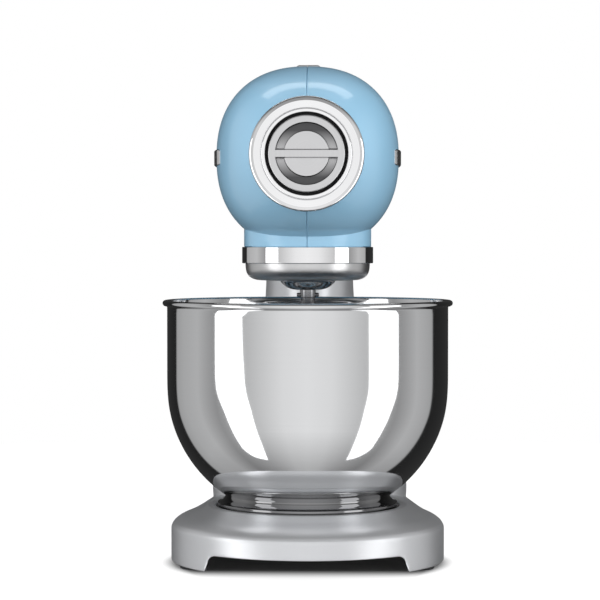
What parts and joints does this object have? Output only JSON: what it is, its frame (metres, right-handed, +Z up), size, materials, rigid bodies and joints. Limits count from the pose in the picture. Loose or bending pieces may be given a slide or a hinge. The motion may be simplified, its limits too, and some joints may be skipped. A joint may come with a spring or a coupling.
{
  "type": "stand mixer",
  "caption": "Stand mixer with a round tilting head, front attachment hub, planetary tool shaft, polished bayonet bowl and an arched pedestal base.",
  "frame": {"origin": "on the ground, under the middle of the outline", "axes": "+Z up, the attachment hub and bowl face -Y, +X to the right of someone looking at the front"},
  "size_m": [0.221, 0.402, 0.3842],
  "materials": {
    "blue_paint": "gloss enamel",
    "silver_paint": "fine metallic satin coat",
    "polished_steel": "mirror polished",
    "chrome": "bright plated",
    "satin_cap": "satin",
    "polished_alloy": "polished",
    "machined_steel": "ground",
    "gear_steel": "hobbed",
    "zinc_steel": "zinc plated",
    "bronze": "sintered",
    "copper": "wound and turned",
    "laminations": "stacked sheet",
    "cast_alloy": "as cast",
    "carbon": "pressed carbon",
    "fan_nylon": "moulded",
    "board": "coated",
    "black_plastic": "moulded",
    "black_rubber": "moulded"
  },
  "bodies": {
    "stand": {"base_casting": "silver_paint", "column": "silver_paint", "base_bottom_cover": "black_plastic", "rubber_feet": "black_rubber", "bottom_cover_screws": "zinc_steel", "column_bolts": "zinc_steel", "bowl_seat_plate": "machined_steel", "seat_plate_screws": "zinc_steel", "hinge_pin": "machined_steel", "cord_inlet_bush": "black_rubber", "terminal_block": "fan_nylon", "lock_spring": "zinc_steel"},
    "release": {"release_button": "satin_cap", "lock_bolt": "machined_steel"},
    "bowl": {"bowl": "polished_steel", "bowl_foot": "polished_steel"},
    "head": {"head_shell_left": "blue_paint", "head_shell_right": "blue_paint", "gearbox_frame": "cast_alloy", "hinge_bushes": "bronze", "side_trim_left": "chrome", "side_trim_right": "chrome", "shell_screws": "zinc_steel", "front_trim_ring": "chrome", "ring_screws": "zinc_steel", "hub_socket": "chrome", "hub_gasket": "black_rubber", "skirt_ring": "chrome", "ring_gear": "gear_steel", "carrier_bearings": "machined_steel", "main_bearings": "machined_steel", "motor_bearings": "machined_steel", "motor_stator": "laminations", "stator_windings": "copper", "motor_front_bracket": "cast_alloy", "motor_rear_bracket": "cast_alloy", "motor_screws": "zinc_steel", "carbon_brushes": "carbon", "brush_holders": "fan_nylon", "control_board": "board", "speed_potentiometer": "fan_nylon"},
    "hub_cover": {"hub_cover": "satin_cap"},
    "lever": {"speed_lever": "satin_cap"},
    "carrier": {"planet_carrier": "polished_alloy", "carrier_shaft": "machined_steel", "crown_gear": "gear_steel", "tool_bush": "bronze", "tool_cap": "chrome"},
    "tool": {"tool_shaft": "machined_steel", "tool_pin": "machined_steel", "planet_gear": "gear_steel"},
    "main_drive": {"main_shaft": "machined_steel", "bevel_pinion": "gear_steel", "main_gear": "gear_steel"},
    "counter_drive": {"counter_shaft": "machined_steel", "counter_gear": "gear_steel"},
    "rotor": {"motor_shaft": "machined_steel", "rotor_core": "laminations", "commutator": "copper", "cooling_fan": "fan_nylon"}
  },
  "joints": [
    {"name": "head_tilt", "type": "hinge", "parent": "stand", "child": "head", "pos_m": [0, 0.112, 0.232], "axis": [-1, 0, 0], "range_deg": [0, 34]},
    {"name": "release_press", "type": "slide", "parent": "stand", "child": "release", "axis": [0, -1, 0], "range_m": [0, 0.005], "stiffness_N_per_m": 400, "springref_m": -0.004, "deforming": ["lock_spring"]},
    {"name": "bowl_twist", "type": "hinge", "parent": "stand", "child": "bowl", "pos_m": [0, -0.0905, 0.0435], "axis": [0, 0, 1], "range_deg": [0, 40]},
    {"name": "hub_cover_pull", "type": "slide", "parent": "head", "child": "hub_cover", "axis": [0, -1, 0], "range_m": [0, 0.03]},
    {"name": "speed_lever_slide", "type": "slide", "parent": "head", "child": "lever", "axis": [0, 0.9982, -0.0599], "range_m": [0, 0.05]},
    {"name": "carrier_spin", "type": "hinge", "parent": "head", "child": "carrier", "pos_m": [0, -0.0905, 0.228], "axis": [0, 0, 1], "continuous": true},
    {"name": "tool_spin", "type": "hinge", "parent": "carrier", "child": "tool", "pos_m": [0, -0.0695, 0.22], "axis": [0, 0, 1], "continuous": true},
    {"name": "main_spin", "type": "hinge", "parent": "head", "child": "main_drive", "pos_m": [0, -0.09, 0.308], "axis": [0, 1, 0], "continuous": true},
    {"name": "counter_spin", "type": "hinge", "parent": "head", "child": "counter_drive", "pos_m": [0, -0.024, 0.336], "axis": [0, 1, 0], "continuous": true},
    {"name": "rotor_spin", "type": "hinge", "parent": "head", "child": "rotor", "pos_m": [0, 0.04, 0.308], "axis": [0, 1, 0], "continuous": true}
  ],
  "couplings": [
    {"joint": "tool_spin", "follows": "carrier_spin", "ratio": -2.75},
    {"joint": "main_spin", "follows": "carrier_spin", "ratio": 2},
    {"joint": "counter_spin", "follows": "carrier_spin", "ratio": -3.6},
    {"joint": "rotor_spin", "follows": "carrier_spin", "ratio": 9}
  ]
}
